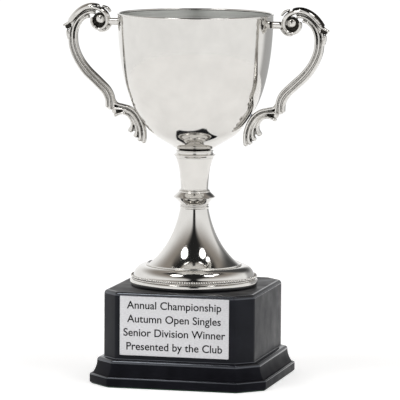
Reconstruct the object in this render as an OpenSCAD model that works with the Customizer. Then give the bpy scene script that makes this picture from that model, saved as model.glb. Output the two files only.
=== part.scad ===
// Two-handled cup trophy: a spun metal cup on a stem, bolted through a moulded base with a nameplate.
// Millimetres. +Z is up, the nameplate faces -Y, and the handles lie along X. Z = 0 is the resting plane.

/* [Base] */
// Width of the plinth, the lowest step of the base
plinth_w = 146.5; // [142:0.5:150]
// Width of the block that stands on the plinth
block_w = 125; // [123:0.5:127]
// Height of the top of the block
block_top = 76.5; // [75:0.5:78]
// Height where the plinth ends and the block begins
plinth_top = 22.5; // [20:0.5:24]
// Length cut off each side of the block at a corner
corner_cut = 13.2; // [10:0.2:15]
// Wall of the two moulded base parts
mould_wall = 3; // [2.5:0.5:3.5]

/* [Nameplate] */
// Width of the nameplate
plate_w = 90; // [70:1:92]
// Height of the nameplate
plate_h = 48; // [30:1:48]
// Thickness of the nameplate
plate_t = 0.8; // [0.5:0.1:1.2]

/* [Cup] */
// Radius of the bowl at its mouth
rim_r = 63.3; // [62:0.1:64]
// Height of the mouth of the bowl
rim_z = 298; // [294:1:302]
// Thickness of the spun metal
spun_t = 1.2; // [0.9:0.1:1.4]

/* [Handles] */
// Thickness of a handle, front to back
handle_t = 8; // [7:0.5:9]
// How far the raised middle of a handle stands in from its edges
rib_inset = 1.2; // [1:0.1:1.4]

/* [Fasteners] */
// Diameter of the tie rod that clamps the cup to the base
rod_d = 6; // [5:1:6]
// Diameter of the handle screws
handle_screw_d = 3; // [2.5:0.5:3]
// Diameter of the screws that hold the plinth to the block
base_screw_d = 4; // [3:0.5:4]

/* [Hidden] */
$fn = 96;

GAP = 0.05;                       // fitting gap between neighbouring pieces
PLATED = "silver";
MOULDED = "#2b2a30";
PLINTH_STEP = (plinth_w - block_w) / 2;

felt_t = 1;
cover_t = 3;
plinth_z = felt_t;                // the moulding stands on the felt
web_t = 3;                        // shelf inside the plinth that the block is screwed to
web_hole_r = 44;
boss_r = 5;
// Bosses run into the cut corners of the block: their place from the axis along X and along Y.
boss_xy = ((block_w - corner_cut) / sqrt(2) - mould_wall + 1 - boss_r) / sqrt(2);
boss_len = 16;
weight_r = 45;
weight_t = 12;
weight_z = block_top - mould_wall - weight_t;
washer_t = 1.6;
nut_h = 5;

bell_z = 94.3;                    // joint of foot rim and bell
knop_z = 141.5;                   // joint of bell and knop
tube_z = 155.2;                   // joint of knop and tube
collar_z = 180.6;                 // joint of tube and collar
bowl_z = 187;                     // underside of the bowl, where the collar ends

// Point of a cubic curve through four control points.
function curve_at(c, t) =
    pow(1 - t, 3) * c[0] + 3 * pow(1 - t, 2) * t * c[1] + 3 * (1 - t) * t * t * c[2] + pow(t, 3) * c[3];
// The curve as steps + 1 points.
function curve(c, steps) = [for (i = [0 : steps]) curve_at(c, i / steps)];
// A list of points without its first one.
function tail(points) = [for (i = [1 : len(points) - 1]) points[i]];
function reversed(points) = [for (i = [len(points) - 1 : -1 : 0]) points[i]];
// Unit vector square to the outline at point i, on its left-hand side.
function side_of(p, i) =
    let (d = p[min(i + 1, len(p) - 1)] - p[max(i - 1, 0)])
    [-d[1], d[0]] / norm(d);
// The same outline moved sideways by t.
function shifted(p, t) = [for (i = [0 : len(p) - 1]) p[i] + t * side_of(p, i)];

// Outer outline of the bowl, from its flat underside to the mouth.
function bowl_side(t = 0) = shifted(concat(
    curve([[14, bowl_z + 0.5], [36, bowl_z + 13.5], [35.5, bowl_z + 11.5], [48, bowl_z + 31.5]], 14),
    tail(curve([[48, bowl_z + 31.5], [56, bowl_z + 44], [rim_r, rim_z - 39], [rim_r, rim_z]], 14))), t);

// A spun shell: an outline turned round the Z axis, given the thickness of the metal.
module spun(outline, t = spun_t) {
    rotate_extrude()
        polygon(concat(outline, reversed(shifted(outline, t))));
}

// ---- the cup ----

module bowl() {
    side = bowl_side();
    inner = bowl_side(spun_t);
    floor_r = 12.5;
    color(PLATED)
    difference() {
        rotate_extrude()
            polygon(concat([[0, bowl_z], [floor_r, bowl_z]], side,
                [[rim_r - spun_t, rim_z]], reversed([for (p = inner) if (p[1] < rim_z) p]),
                [[floor_r, bowl_z + spun_t], [0, bowl_z + spun_t]]));
        translate([0, 0, bowl_z - 1])
            cylinder(d = rod_d + 0.6, h = spun_t + 2);
        handle_fixings() cylinder(d = handle_screw_d + 0.4, h = 12, center = true);
    }
}

// Children are placed at the four handle screws, pointing outwards through the bowl's wall.
SCREW_TOP_Z = 289.7;
SCREW_LOW = [47, 216];            // radius and height where the lower screw crosses the wall
SCREW_LOW_TILT = 125;             // angle of the lower screw from straight up
module handle_fixings() {
    for (s = [0, 180]) rotate([0, 0, s]) {
        translate([rim_r - 0.6, 0, SCREW_TOP_Z]) rotate([0, 90, 0]) children();
        translate([SCREW_LOW[0], 0, SCREW_LOW[1]]) rotate([0, SCREW_LOW_TILT, 0]) children();
    }
}

// The space taken by the bowl with a fitting gap round it; handles are cut back from it.
module bowl_space() {
    rotate_extrude()
        polygon(concat([[0, bowl_z - GAP]], [[14, bowl_z - GAP]], bowl_side(-GAP),
            [[rim_r + GAP, rim_z + 20], [0, rim_z + 20]]));
}

// ---- the handles ----

// Points [x, z, heading] along a chain of arcs that starts at x, z with a heading in degrees.
// Each arc is [radius, turn]: a positive turn bends left, a negative one right.
function walk(x, z, heading, arcs, i = 0) =
    i == len(arcs) ? [[x, z, heading]] :
    let (r = arcs[i][0], turn = arcs[i][1], s = sign(turn), steps = ceil(abs(turn) / 7.5),
         cx = x - s * r * sin(heading), cz = z + s * r * cos(heading))
    concat(
        [for (k = [0 : steps - 1]) let (h = heading + turn * k / steps)
            [cx + s * r * sin(h), cz - s * r * cos(h), h]],
        walk(cx + s * r * sin(heading + turn), cz - s * r * cos(heading + turn), heading + turn,
            arcs, i + 1));

// Value at fraction u of a list of evenly spaced widths.
function blend(widths, u) =
    let (k = min(floor(u * (len(widths) - 1)), len(widths) - 2), f = u * (len(widths) - 1) - k)
    widths[k] * (1 - f) + widths[k + 1] * f;

// A stroke drawn along a walk, as wide as the list of widths says, less a margin.
module stroke(w, widths, margin = 0) {
    n = len(w) - 1;
    half = [for (i = [0 : n]) max(blend(widths, i / n) / 2 - margin, 0.3)];
    polygon(concat(
        [for (i = [0 : n]) [w[i][0] - half[i] * sin(w[i][2]), w[i][1] + half[i] * cos(w[i][2])]],
        [for (i = [n : -1 : 0]) [w[i][0] + half[i] * sin(w[i][2]), w[i][1] - half[i] * cos(w[i][2])]]));
}

// Centre lines of the right-hand handle, in the plane of the handle.
ARCH = walk(112, 285, 160, [[26, -35], [16.5, 53], [12, 95], [5.5, 156], [4, 70]]);
STRAP = walk(88, 297.5, -17, [[21.5, -72], [42, -42], [79, -14], [19, 63]]);
SCROLL = walk(70.5, 217, 149, [[16.5, 36], [15, 57], [35, 27], [21, 12]]);
FROND_MID = walk(63.5, 217.5, 166, [[12, 75], [40, 30]]);
FROND_OUT = walk(63.5, 217.5, 166, [[10, 93], [22, 30]]);
LIP = walk(73.5, 220.5, -115, [[9, -60]]);

// Outline of the casting seen square on.
module handle_outline(margin = 0) {
    stroke(ARCH, [0.8, 6, 8, 6.5, 4.4, 3.6], margin);
    stroke(STRAP, [5, 8.5, 8.5, 8.5, 8.5, 8.5, 9], margin);
    stroke(SCROLL, [7, 6.5, 8.5, 7, 4.5], margin);
    stroke(FROND_MID, [5, 5, 5, 4], margin);
    stroke(FROND_OUT, [5, 5, 4.4, 3.6], margin);
    stroke(LIP, [5, 4, 1.5], margin);
}

module slab(thickness) {
    rotate([90, 0, 0]) linear_extrude(height = thickness, center = true) children();
}

VOLUTE = [79, 290];               // eye of the volute
module handle() {
    difference() {
        union() {
            slab(handle_t - 2.4) handle_outline();
            slab(handle_t) handle_outline(rib_inset);
            slab(2.6) translate(VOLUTE) circle(8);
            slab(handle_t - 1) translate(VOLUTE) circle(3.6);
            translate([rim_r - 2, 0, SCREW_TOP_Z]) rotate([0, 90, 0]) cylinder(r = 3.1, h = 11);
        }
        bowl_space();
        handle_fixings() translate([0, 0, -2]) cylinder(d = handle_screw_d - 0.5, h = 8.4);
    }
}

module handle_right() { color(PLATED) handle(); }
module handle_left() { color(PLATED) mirror([1, 0, 0]) handle(); }

small_washer_t = 0.6;
screw_seat = 1 + small_washer_t;  // from the middle of the bowl's wall to the seat of a screw's head
module handle_screws() {
    color("gold") handle_fixings() {
        translate([0, 0, -screw_seat]) cylinder(d = handle_screw_d - 0.6, h = 7.6);
        translate([0, 0, -screw_seat - 1.8]) cylinder(d = 5.6, h = 1.8);
    }
}
module handle_washers() {
    color("gold") handle_fixings() translate([0, 0, -screw_seat])
        difference() {
            cylinder(d = 7, h = small_washer_t);
            translate([0, 0, -1]) cylinder(d = handle_screw_d + 0.2, h = small_washer_t + 2);
        }
}

// ---- the stem, from the top down ----

module bowl_collar() {
    color(PLATED)
    rotate_extrude()
        polygon(concat([[10, collar_z], [15.3, collar_z]],
            curve([[15.5, collar_z + 0.2], [15.9, collar_z + 1.2], [16.9, collar_z + 1.9], [17, collar_z + 2.5]], 5),
            curve([[16.9, collar_z + 2.9], [15.7, collar_z + 3.4], [14.9, collar_z + 4.3],
                [14.9, collar_z + 5.4]], 6),
            [[15.2, collar_z + 5.6], [15.2, bowl_z - GAP], [10, bowl_z - GAP]]));
}

module stem_tube() {
    color(PLATED)
    spun(concat(
        curve([[11.2, tube_z + GAP], [11.6, tube_z + 12], [12.4, tube_z + 18.5], [15.2, collar_z - GAP]], 12)));
}

module stem_knop() {
    knop_mid = knop_z + 7.1;
    color(PLATED)
    rotate_extrude()
        polygon(concat(
            [[4, knop_z + GAP], [11.4, knop_z + GAP]],
            curve([[11.4, knop_z + 1.2], [12.6, knop_z + 3.6], [15, knop_z + 5.2], [17.1, knop_mid - 0.3]], 6),
            [[17.1, knop_mid + 0.3]],
            curve([[16.8, knop_mid + 0.6], [15.2, knop_mid + 2], [13.6, knop_mid + 3.4],
                [12.7, knop_mid + 4.4]], 5),
            [[12.2, tube_z - 2], [12.2, tube_z], [4, tube_z]]));
}

module foot_bell() {
    color(PLATED)
    spun(concat(
        curve([[37, bell_z + GAP], [26.5, bell_z + 8.2], [15.8, bell_z + 22.2], [11.4, knop_z - 2]], 16),
        [[11.7, knop_z - 1], [11.4, knop_z]]));
}

module foot_rim() {
    side = concat(
        curve([[50.8, block_top + GAP], [52.4, block_top + 1.4], [52.6, block_top + 4], [50.9, block_top + 5.5]], 6),
        [[48.8, block_top + 8.8]],
        tail(curve([[48.8, block_top + 8.8], [47.9, block_top + 14.1], [43.8, block_top + 17], [38, bell_z]], 8)),
        [[35, bell_z]]);
    color(PLATED)
    spun(side);
}

// Rope of small beads soldered round the foot.
bead_r = 0.95;
module bead_border() {
    color(PLATED)
    rotate_extrude()
        translate([50.4, block_top + 7.4]) circle(bead_r, $fn = 24);
}

// Turned spigot that centres the hollow foot on the base and carries the clamping load to the stem.
module foot_spigot() {
    color("gold")
    difference() {
        union() {
            translate([0, 0, block_top]) cylinder(r = 20, h = 3);
            translate([0, 0, block_top]) cylinder(r = 8, h = knop_z - block_top);
        }
        translate([0, 0, block_top - 1]) cylinder(d = rod_d + 0.6, h = knop_z - block_top + 2);
    }
}

// ---- what clamps it together ----

rod_low = weight_z - washer_t - nut_h - 2;
rod_top = bowl_z + spun_t + washer_t + nut_h - 1;
module tie_rod() {
    color("gold") translate([0, 0, rod_low]) cylinder(d = rod_d, h = rod_top - rod_low);
}

module ring_washer(r, t) {
    difference() {
        cylinder(r = r, h = t);
        translate([0, 0, -1]) cylinder(d = rod_d + 0.4, h = t + 2);
    }
}

module bowl_washer() {
    color("gold") translate([0, 0, bowl_z + spun_t]) ring_washer(9, washer_t);
}

// Domed nut at the bottom of the bowl.
module bowl_nut() {
    color("gold")
    translate([0, 0, bowl_z + spun_t + washer_t])
        difference() {
            union() {
                cylinder(d = 11, h = nut_h, $fn = 6);
                translate([0, 0, nut_h - 2.2]) intersection() {
                    sphere(4.6, $fn = 48);
                    cylinder(r = 6, h = 6);
                }
            }
            translate([0, 0, -1]) cylinder(d = rod_d + 2 * GAP, h = nut_h + 0.2);
        }
}

module base_washer() {
    color("gold") translate([0, 0, weight_z - washer_t]) ring_washer(12, washer_t);
}

module base_nut() {
    color("gold")
    translate([0, 0, weight_z - washer_t - nut_h])
        difference() {
            cylinder(d = 11.5, h = nut_h, $fn = 6);
            translate([0, 0, -1]) cylinder(d = rod_d + 2 * GAP, h = nut_h + 2);
        }
}

// ---- the base ----

block_half = block_w / 2;
block_diagonal = (2 * block_half - corner_cut) / sqrt(2);

// Plan of the block, a square with its corners cut off, grown by the same amount on every side.
module cut_plan(grown = 0) {
    half = block_half + grown;
    cut = 2 * half - sqrt(2) * (block_diagonal + grown);
    polygon([
        [half, cut - half], [half, half - cut], [half - cut, half], [cut - half, half],
        [-half, half - cut], [-half, cut - half], [cut - half, -half], [half - cut, -half]
    ]);
}

module base_block() {
    round_r = 3;
    cavity_h = block_top - mould_wall - plinth_top;
    tall = block_top - plinth_top;
    color(MOULDED)
    difference() {
        union() {
            difference() {
                translate([0, 0, plinth_top]) rounded_block(tall, round_r);
                translate([0, 0, plinth_top - 1])
                    linear_extrude(height = cavity_h + 1)
                        cut_plan(-mould_wall);
            }
            base_bosses();
        }
        base_fixings() translate([0, 0, plinth_top - 1])
            cylinder(d = base_screw_d - 0.8, h = boss_len - 2);
        translate([0, 0, block_top - mould_wall - 1]) cylinder(d = rod_d + 0.6, h = mould_wall + 2);
    }
}

// The block's solid body, its upper edges rounded over.
module rounded_block(tall, r) {
    intersection_for (a = [0 : 45 : 135])
        rotate([0, 0, a]) rotate([90, 0, 0])
            linear_extrude(height = 4 * block_half, center = true) {
                half = a % 90 == 0 ? block_half : block_diagonal;
                edge = [for (t = [0 : 15 : 90]) [half - r + r * cos(t), tall - r + r * sin(t)]];
                polygon(concat([[half, 0]], edge, [for (p = reversed(edge)) [-p[0], p[1]]], [[-half, 0]]));
            }
}

module base_fixings() {
    for (x = [-1, 1]) for (y = [-1, 1])
        translate([x * boss_xy, y * boss_xy, 0]) children();
}
module base_bosses() {
    base_fixings() translate([0, 0, plinth_top]) cylinder(r = boss_r, h = boss_len);
}

// Outline of the plinth's edge beyond the block: an upright foot, a hollow, and a bead under the block.
plinth_h = plinth_top - plinth_z;
PLINTH_EDGE = concat(
    [[PLINTH_STEP, 0]],
    curve([[PLINTH_STEP, 6.2], [PLINTH_STEP, 7], [PLINTH_STEP - 0.3, 7.4], [PLINTH_STEP - 1, 7.6]], 4),
    curve([[PLINTH_STEP - 2.6, 7.8], [PLINTH_STEP - 4, 11], [5.4, 14.5], [4.9, plinth_h - 4]], 6),
    tail(curve([[4.9, plinth_h - 4], [5, plinth_h - 2], [4.4, plinth_h - 1], [2.6, plinth_h]], 4)));

// The edge outline carried round the plan, mitred at every corner.
module plinth_body() {
    intersection_for (a = [0 : 45 : 135])
        rotate([0, 0, a]) rotate([90, 0, 0])
            linear_extrude(height = 4 * block_half, center = true) {
                half = a % 90 == 0 ? block_half : block_diagonal;
                polygon(concat([for (p = PLINTH_EDGE) [half + p[0], p[1]]],
                    [for (p = reversed(PLINTH_EDGE)) [-half - p[0], p[1]]]));
            }
}

module base_plinth() {
    web_z = plinth_top - web_t;
    color(MOULDED)
    difference() {
        translate([0, 0, plinth_z]) plinth_body();
        // hollow below the web, open downwards
        translate([0, 0, plinth_z - 1])
            linear_extrude(height = web_z - plinth_z + 1) cut_plan(1.4);
        // wider rebate that takes the bottom cover
        translate([0, 0, plinth_z - 1])
            linear_extrude(height = cover_t + 1) cut_plan(PLINTH_STEP - mould_wall);
        translate([0, 0, web_z - 1]) cylinder(r = web_hole_r, h = web_t + 2);
        base_fixings() translate([0, 0, web_z - 1]) cylinder(d = base_screw_d + 0.5, h = web_t + 2);
    }
}

module base_screws() {
    head_z = plinth_top - web_t;
    color("gold") base_fixings() {
        translate([0, 0, head_z]) cylinder(d = base_screw_d - 0.9, h = 12);
        translate([0, 0, head_z - 2.4]) cylinder(d = 2 * base_screw_d, h = 2.4);
    }
}

module base_weight() {
    color("dimgray")
    translate([0, 0, weight_z])
        difference() {
            cylinder(r = weight_r, h = weight_t);
            translate([0, 0, -1]) cylinder(d = rod_d + 1, h = weight_t + 2);
        }
}

module bottom_cover() {
    color("peru")
    translate([0, 0, plinth_z])
        linear_extrude(height = cover_t - GAP) cut_plan(PLINTH_STEP - mould_wall - 4 * GAP);
}

module felt_pad() {
    color("darkgreen")
    linear_extrude(height = felt_t) cut_plan(PLINTH_STEP - 1.5);
}

tape_t = 0.4;
plate_z = 49.7;                   // height of the nameplate's centre
plate_x = -0.4;
module plate_block(w, h, t, y) {
    translate([plate_x - w / 2, y - t, plate_z - h / 2]) cube([w, t, h]);
}
module plate_tape() {
    color("white") plate_block(plate_w - 6, plate_h - 6, tape_t, -block_half);
}
module nameplate() {
    color("gainsboro") plate_block(plate_w, plate_h, plate_t, -block_half - tape_t);
}

bowl();
handle_left();
handle_right();
handle_screws();
handle_washers();
bowl_collar();
stem_tube();
stem_knop();
foot_bell();
foot_rim();
bead_border();
foot_spigot();
tie_rod();
bowl_washer();
bowl_nut();
base_block();
base_plinth();
base_weight();
base_washer();
base_nut();
base_screws();
bottom_cover();
felt_pad();
plate_tape();
nameplate();
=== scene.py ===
# %% [markdown]
# # A two-handled cup trophy
#
# The real object is a spun cup on a spun stem, two cast handles, and a moulded base with a plate on it.
# Everything that is turned or spun on a lathe is one outline swept round an axis. Everything cast is built
# from strands and then fused. Everything moulded starts as a box whose edges are bevelled.
#
# The frame gives the place and size of every node in metres, so the looks are built straight onto it.

# %% Load the frame
import math

import bmesh
import bpy
from mathutils import Matrix, Vector


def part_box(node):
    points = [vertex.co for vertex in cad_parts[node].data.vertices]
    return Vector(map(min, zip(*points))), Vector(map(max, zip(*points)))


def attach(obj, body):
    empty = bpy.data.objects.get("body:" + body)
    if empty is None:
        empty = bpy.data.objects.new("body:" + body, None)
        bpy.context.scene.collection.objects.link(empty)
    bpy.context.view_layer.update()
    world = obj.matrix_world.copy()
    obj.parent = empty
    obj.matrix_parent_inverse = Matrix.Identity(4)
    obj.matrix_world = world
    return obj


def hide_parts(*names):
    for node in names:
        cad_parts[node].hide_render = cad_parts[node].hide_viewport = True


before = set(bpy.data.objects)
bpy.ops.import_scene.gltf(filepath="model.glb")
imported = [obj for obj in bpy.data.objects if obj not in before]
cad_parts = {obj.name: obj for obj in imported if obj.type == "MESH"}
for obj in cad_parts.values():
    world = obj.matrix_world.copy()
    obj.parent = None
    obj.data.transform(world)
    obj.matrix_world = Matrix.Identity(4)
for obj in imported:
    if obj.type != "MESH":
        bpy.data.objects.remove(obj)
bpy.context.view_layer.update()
MM = 0.001

# %% [markdown]
# ## Sizes from the frame
#
# The heights where one piece of the stem meets the next come from the boxes of the nodes. Radii of the big
# pieces come from there too, so the looks follow the design if it is resized.

# %% Heights and radii
def top(node):
    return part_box(node)[1].z


def low(node):
    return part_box(node)[0].z


def radius(node):
    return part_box(node)[1].x


RIM_Z = top("bowl")
RIM_R = radius("bowl")
BOWL_Z = low("bowl")
COLLAR_Z = low("bowl_collar")
TUBE_Z = low("stem_tube")
KNOP_Z = low("stem_knop")
BELL_Z = low("foot_bell")
FOOT_Z = low("foot_rim")
BLOCK_Z = low("base_block")
PLINTH_Z = low("base_plinth")
METAL = 1.2 * MM
print("rim at", round(RIM_Z, 4), "bowl from", round(BOWL_Z, 4), "foot from", round(FOOT_Z, 4))

# %% [markdown]
# ## Small helpers
#
# A curve through four control points draws every smooth stretch of an outline. A mesh helper turns a
# finished bmesh into an object with its place in its mesh, gives it a material, and hangs it on the frame.

# %% Helpers for outlines and objects
def curve(a, b, c, d, steps):
    """Points along a cubic curve with these four control points, both ends included."""
    points = []
    for i in range(steps + 1):
        t = i / steps
        weights = ((1 - t) ** 3, 3 * (1 - t) ** 2 * t, 3 * (1 - t) * t * t, t ** 3)
        points.append(tuple(sum(w * p[k] for w, p in zip(weights, (a, b, c, d))) for k in range(2)))
    return points


def finish_piece(bm, name, material, replaced, smooth=True, sharp_angle=40):
    """Turns a bmesh into a named piece that rides on the trophy and stands for the CAD nodes given."""
    mesh = bpy.data.meshes.new(name)
    bm.to_mesh(mesh)
    bm.free()
    mesh.materials.append(material)
    piece = bpy.data.objects.new(name, mesh)
    bpy.context.scene.collection.objects.link(piece)
    if smooth:
        mesh.shade_smooth()
        mesh.set_sharp_from_angle(angle=math.radians(sharp_angle))
    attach(piece, "root")
    if replaced:
        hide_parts(*replaced)
    print(name, len(mesh.vertices), "points", len(mesh.polygons), "faces")
    return piece


def spin_outline(outline, steps=160):
    """A closed skin from an outline of (radius, height) points, spun round the upright axis."""
    bm = bmesh.new()
    verts = [bm.verts.new((r, 0, z)) for r, z in outline]
    edges = [bm.edges.new(pair) for pair in zip(verts, verts[1:])]
    bmesh.ops.spin(bm, geom=verts + edges, cent=(0, 0, 0), axis=(0, 0, 1), dvec=(0, 0, 0),
                   angle=2 * math.pi, steps=steps, use_merge=True, use_duplicate=False)
    bmesh.ops.remove_doubles(bm, verts=bm.verts, dist=1e-6)
    bmesh.ops.recalc_face_normals(bm, faces=bm.faces)
    return bm

# %% [markdown]
# ## Materials
#
# Each finish is a short node tree on object coordinates. One function turns a hex colour to the linear
# values that the shader wants, and one adds a node with its settings and links.

# %% Helpers for materials
def srgb(hex_colour):
    """Linear RGBA of an sRGB hex colour such as "#c0ffee"."""
    channels = [int(hex_colour[i:i + 2], 16) / 255 for i in (1, 3, 5)]
    return [c / 12.92 if c <= 0.04045 else ((c + 0.055) / 1.055) ** 2.4 for c in channels] + [1.0]


def add_node(tree, kind, links=None, props=None, **inputs):
    """Adds a node, sets its properties and input values, and links its inputs from other sockets."""
    made = tree.nodes.new(kind)
    for key, value in (props or {}).items():
        setattr(made, key, value)
    for key, value in inputs.items():
        made.inputs[key.replace("_", " ")].default_value = value
    for key, socket in (links or {}).items():
        tree.links.new(socket, made.inputs[key])
    return made


def new_material(name, **shader_inputs):
    """A material with a Principled shader, and the shader and object coordinates to build on."""
    material = bpy.data.materials.new(name)
    material.use_nodes = True
    tree = material.node_tree
    shader = tree.nodes["Principled BSDF"]
    for key, value in shader_inputs.items():
        shader.inputs[key.replace("_", " ")].default_value = value
    place = add_node(tree, "ShaderNodeTexCoord").outputs["Object"]
    print("material:", name)
    return material, tree, shader, place


def ramp(tree, socket, stops):
    """A colour ramp over a socket, from (position, linear colour) stops."""
    made = add_node(tree, "ShaderNodeValToRGB", {"Fac": socket})
    elements = made.color_ramp.elements
    while len(elements) < len(stops):
        elements.new(0.5)
    for element, (position, colour) in zip(elements, stops):
        element.position = position
        element.color = colour
    return made.outputs["Color"]


def grey(value):
    return [value, value, value, 1.0]

# %% [markdown]
# **Polished nickel plate.** The cup, stem, foot and handles are brass with a bright nickel plate, buffed on
# a wheel. Nickel is a warm, slightly dark mirror. Buffing leaves the plate faintly wavy, so the
# reflections are soft-edged; the waves are a few millimetres long and far shallower than a hair.

# %% Polished nickel plate
def polished_nickel():
    material, tree, shader, place = new_material("polished_nickel_plate", Metallic=1.0, Roughness=0.07)
    cloud = add_node(tree, "ShaderNodeTexNoise", {"Vector": place}, Scale=1 / (14 * MM), Detail=3.0)
    tint = ramp(tree, cloud.outputs["Fac"], [(0.3, srgb("#d3d1cd")), (0.7, srgb("#dad8d4"))])
    tree.links.new(tint, shader.inputs["Base Color"])
    haze = add_node(tree, "ShaderNodeTexNoise", {"Vector": place}, Scale=1 / (6 * MM), Detail=4.0)
    rough = add_node(tree, "ShaderNodeMapRange", {"Value": haze.outputs["Fac"]}, To_Min=0.05, To_Max=0.11)
    tree.links.new(rough.outputs["Result"], shader.inputs["Roughness"])
    wave = add_node(tree, "ShaderNodeTexNoise", {"Vector": place}, Scale=1 / (9 * MM), Detail=1.0)
    bump = add_node(tree, "ShaderNodeBump", {"Height": wave.outputs["Fac"]}, Strength=0.12,
                    Distance=0.15 * MM)
    tree.links.new(bump.outputs["Normal"], shader.inputs["Normal"])
    return material


NICKEL = polished_nickel()

# %% [markdown]
# ** Cast and plated nickel.** The wheel can't reach into the grooves of the handles, so the plate there
# stays dull, and the grooves are painted dark as shade. An occlusion node finds the grooves: it is dark
# where the surface sees little but itself. The deepest hollows get painted shade too: a dull, nearly black
# material of their own.

# %% Cast nickel with painted shade in its grooves
def cast_nickel():
    material, tree, shader, place = new_material("cast_nickel_plate", Metallic=1.0)
    cloud = add_node(tree, "ShaderNodeTexNoise", {"Vector": place}, Scale=1 / (5 * MM), Detail=3.0)
    tint = ramp(tree, cloud.outputs["Fac"], [(0.3, srgb("#cbc9c5")), (0.7, srgb("#d8d6d2"))])
    groove = add_node(tree, "ShaderNodeAmbientOcclusion", props={"samples": 8}, Distance=2.6 * MM)
    # painted shade: the colour falls to near black where the occlusion node finds a groove
    painted_groove_shade = ramp(tree, groove.outputs["AO"],
                [(0.28, srgb("#080807")), (0.5, srgb("#565452")), (0.74, srgb("#ffffff"))])
    mixed = add_node(tree, "ShaderNodeMix", {"A": tint, "B": painted_groove_shade},
                     {"data_type": "RGBA", "blend_type": "MULTIPLY"}, Factor=1.0)
    tree.links.new(mixed.outputs["Result"], shader.inputs["Base Color"])
    dull = add_node(tree, "ShaderNodeMapRange", {"Value": groove.outputs["AO"]}, From_Min=0.3, From_Max=0.8,
                    To_Min=0.38, To_Max=0.09)
    tree.links.new(dull.outputs["Result"], shader.inputs["Roughness"])
    pits = add_node(tree, "ShaderNodeTexNoise", {"Vector": place}, Scale=1 / (1.6 * MM), Detail=2.0)
    bump = add_node(tree, "ShaderNodeBump", {"Height": pits.outputs["Fac"]}, Strength=0.15,
                    Distance=0.06 * MM)
    tree.links.new(bump.outputs["Normal"], shader.inputs["Normal"])
    return material


CAST = cast_nickel()


# painted shade: a nearly black, dull nickel for the hollows and the outer edge of the right-hand arch
def painted_shade_nickel():
    material, tree, shader, place = new_material("nickel_painted_shade", Metallic=1.0, Roughness=0.4)
    cloud = add_node(tree, "ShaderNodeTexNoise", {"Vector": place}, Scale=1 / (2 * MM), Detail=2.0)
    tint = ramp(tree, cloud.outputs["Fac"], [(0.3, srgb("#1d1c1a")), (0.7, srgb("#3a3835"))])
    tree.links.new(tint, shader.inputs["Base Color"])
    return material


PAINTED_SHADE = painted_shade_nickel()

# %% [markdown]
# **Spun nickel, unbuffed.** The inside of the bowl is plated too, but only smoothed on the lathe. Fine
# rings run round it, so it is a satin metal that spreads its highlights up and down. The rings are drawn
# about half a millimetre apart, coarser than the real ones, so that they show.

# %% Spun nickel for the inside of the bowl
def spun_nickel():
    material, tree, shader, place = new_material("spun_nickel_satin", Metallic=1.0, Roughness=0.32)
    stretch = add_node(tree, "ShaderNodeMapping", {"Vector": place})
    stretch.inputs["Scale"].default_value = (0.02, 0.02, 1.0)
    rings = add_node(tree, "ShaderNodeTexNoise", {"Vector": stretch.outputs["Vector"]},
                     Scale=1 / (0.6 * MM), Detail=3.0)
    tint = ramp(tree, rings.outputs["Fac"], [(0.3, srgb("#cdcecb")), (0.7, srgb("#e2e3e0"))])
    tree.links.new(tint, shader.inputs["Base Color"])
    rough = add_node(tree, "ShaderNodeMapRange", {"Value": rings.outputs["Fac"]}, To_Min=0.24, To_Max=0.42)
    tree.links.new(rough.outputs["Result"], shader.inputs["Roughness"])
    bump = add_node(tree, "ShaderNodeBump", {"Height": rings.outputs["Fac"]}, Strength=0.25,
                    Distance=0.05 * MM)
    tree.links.new(bump.outputs["Normal"], shader.inputs["Normal"])
    return material


SPUN = spun_nickel()

# %% [markdown]
# ** Moulded polystyrene, satin black.** The base is injection moulded in a tool with a fine spark texture,
# so it looks slightly mottled and its highlights are broad. The plinth gets a shaded copy of the same black,
# rougher and with less shine, which paints shade on it. The rounded edges get a lit copy with a glossier
# face and far more shine, a painted highlight that draws thin lines of light. Their highlights are tinted
# blue, a painted highlight colour.

# %% Satin black moulding
SPREAD = 0.07
# painted highlight colour: all three blacks tint their reflections blue
PAINTED_BLUE_HIGHLIGHT = (0.84, 0.90, 1.0, 1.0)


def black_moulding(name, roughness, shine):
    material, tree, shader, place = new_material(name, Roughness=roughness)
    shader.inputs["Specular IOR Level"].default_value = shine
    shader.inputs["Specular Tint"].default_value = PAINTED_BLUE_HIGHLIGHT
    grain = add_node(tree, "ShaderNodeTexNoise", {"Vector": place}, Scale=1 / (0.9 * MM), Detail=4.0)
    patch = add_node(tree, "ShaderNodeTexNoise", {"Vector": place}, Scale=1 / (16 * MM), Detail=4.0)
    tint = ramp(tree, patch.outputs["Fac"], [(0.35, srgb("#0e0e12")), (0.65, srgb("#17171c"))])
    tree.links.new(tint, shader.inputs["Base Color"])
    rough = add_node(tree, "ShaderNodeMapRange", {"Value": patch.outputs["Fac"]}, From_Min=0.3,
                     From_Max=0.7, To_Min=roughness - SPREAD, To_Max=roughness + SPREAD)
    tree.links.new(rough.outputs["Result"], shader.inputs["Roughness"])
    bump = add_node(tree, "ShaderNodeBump", {"Height": grain.outputs["Fac"]}, Strength=0.25,
                    Distance=0.08 * MM)
    tree.links.new(bump.outputs["Normal"], shader.inputs["Normal"])
    return material


BLACK = black_moulding("moulded_polystyrene_black", 0.42, 0.16)
# a shaded copy of the same black, with less shine, paints shade on the plinth
SHADED_BLACK = black_moulding("moulded_polystyrene_shaded_black", 0.46, 0.05)
# a lit copy of the same black, with far more shine, paints highlight lines on the rounded edges
LIT_EDGE_BLACK = black_moulding("moulded_polystyrene_lit_edge", 0.16, 1.0)

# %% [markdown]
# **Brushed engraving plate.** The nameplate is thin aluminium with a silver lacquer, brushed crossways and
# left matt so that it can be engraved. It shows short, fine streaks and no clear reflections.

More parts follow.
